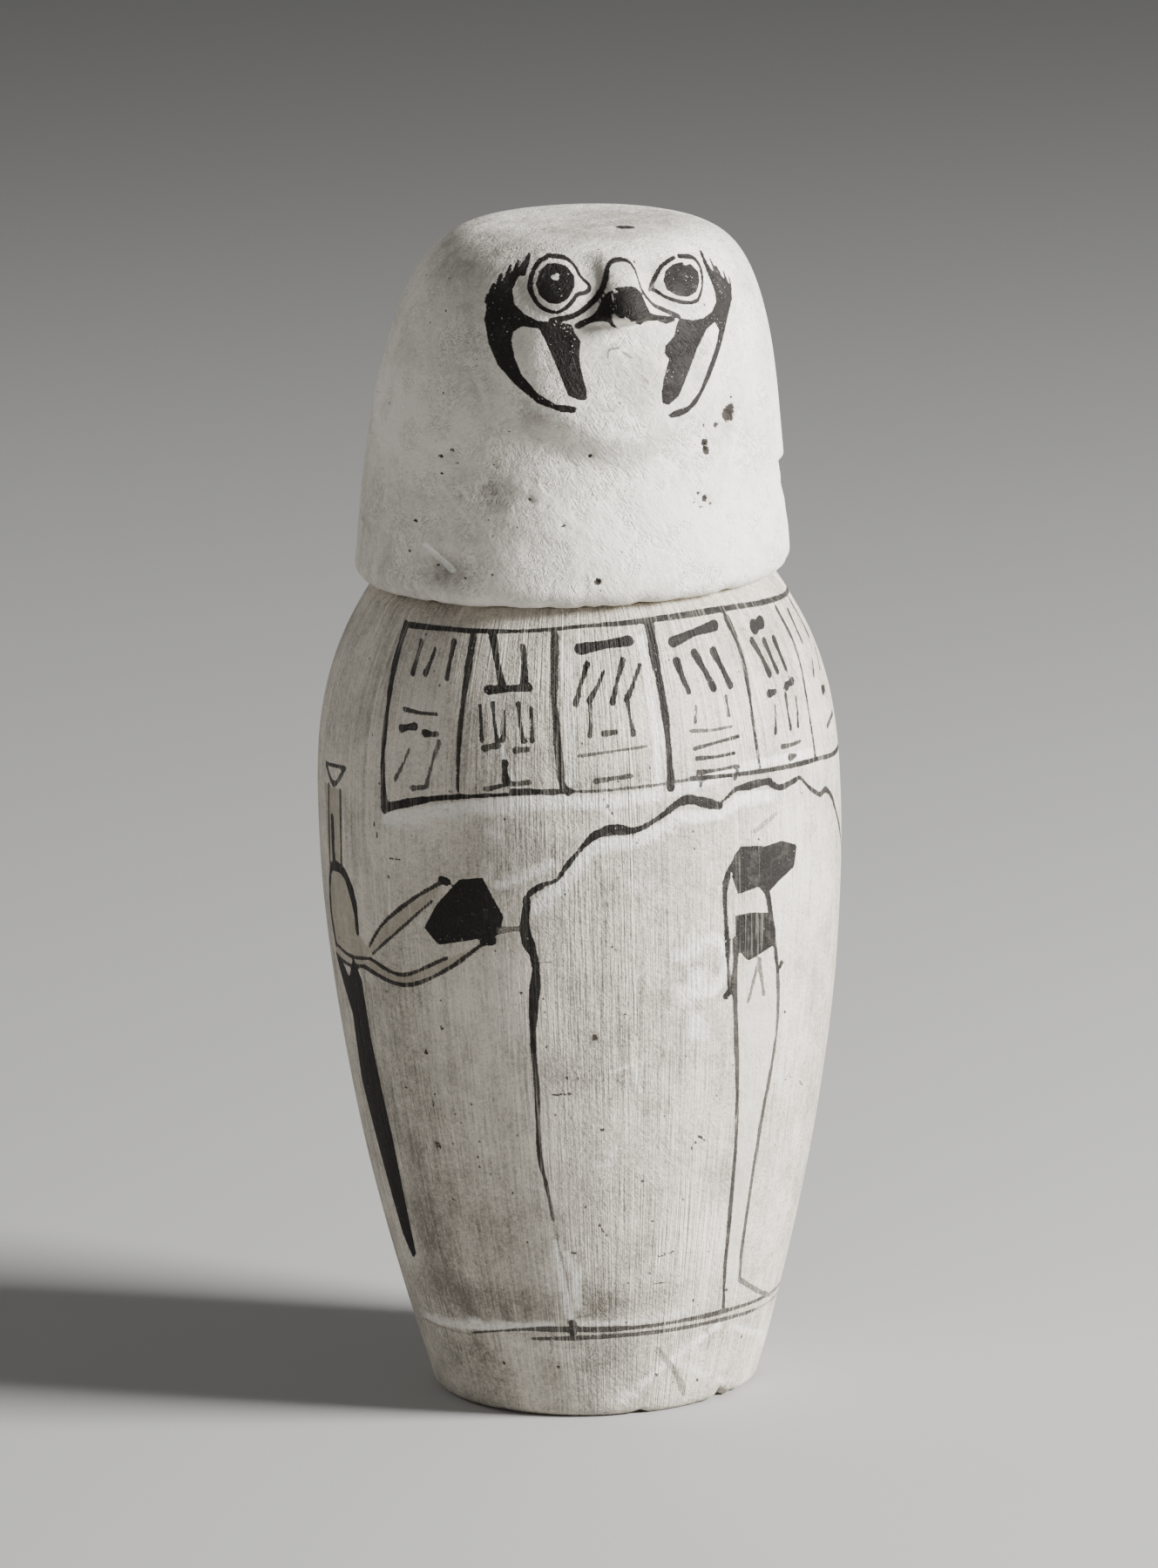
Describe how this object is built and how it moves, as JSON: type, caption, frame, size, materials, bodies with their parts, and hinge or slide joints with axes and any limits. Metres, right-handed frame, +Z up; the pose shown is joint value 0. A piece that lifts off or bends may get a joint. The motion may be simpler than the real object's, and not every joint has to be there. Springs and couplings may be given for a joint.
{
  "type": "canopic jar",
  "caption": "Tall hollow limestone jar with a loose domed lid carved as a falcon's head, painted with black line figures.",
  "frame": {"origin": "centre of the jar's flat underside", "axes": "+Z up through the mouth and the lid, -Y where the falcon looks, +X to the right of someone who faces it"},
  "size_m": [0.1492, 0.1492, 0.3374],
  "materials": {
    "jar_stone": "matte",
    "lid_stone": "matte"
  },
  "bodies": {
    "root": {"jar": "jar_stone", "falcon_lid": "lid_stone"}
  },
  "joints": []
}
